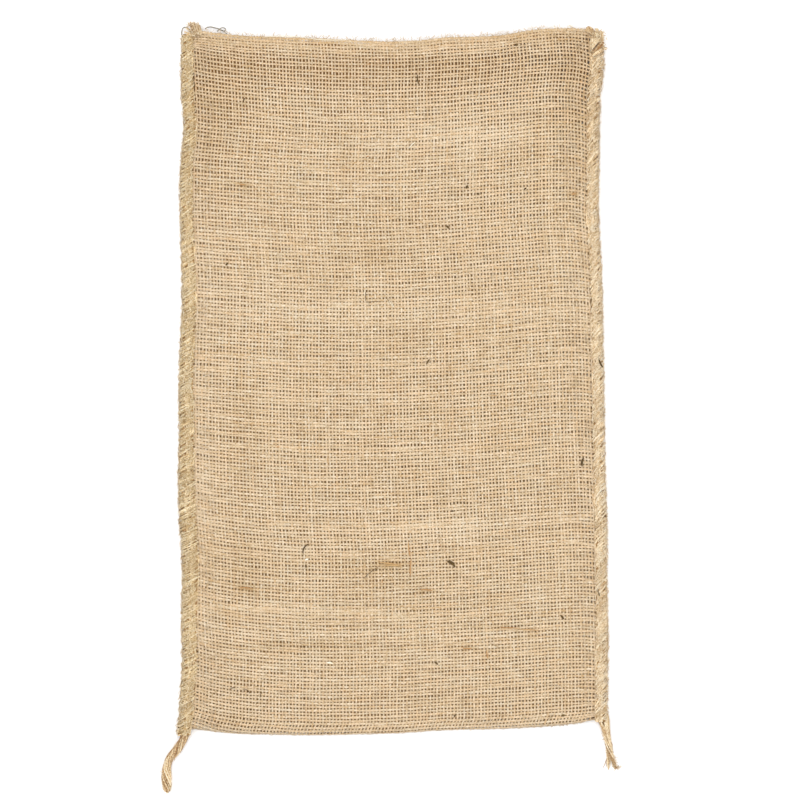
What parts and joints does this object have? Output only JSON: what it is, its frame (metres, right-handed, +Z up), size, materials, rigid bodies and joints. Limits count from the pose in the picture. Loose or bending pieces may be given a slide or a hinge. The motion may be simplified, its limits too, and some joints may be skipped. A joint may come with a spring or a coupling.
{
  "type": "jute sack",
  "caption": "Small open-mouthed sack of plain-woven jute, empty and lying flat, with whip-stitched side seams and free twine ends below the fold.",
  "frame": {"origin": "middle of the footprint of the sack and its seams, on the surface it lies on; the two free twine ends are left out", "axes": "+X to the right seam, +Y from the fold to the mouth, +Z up out of the front layer"},
  "size_m": [0.3247, 0.5482, 0.0128],
  "materials": {
    "woven_jute": "open plain weave, matt and slightly hairy",
    "jute_twine": "plied twine, matt with a faint fibre sheen"
  },
  "bodies": {
    "root": {"sack_cloth": "woven_jute", "seam_left": "jute_twine", "seam_right": "jute_twine", "knot_right": "jute_twine", "tuft_left": "jute_twine", "tail_left": "jute_twine", "tail_right": "jute_twine"}
  },
  "joints": []
}
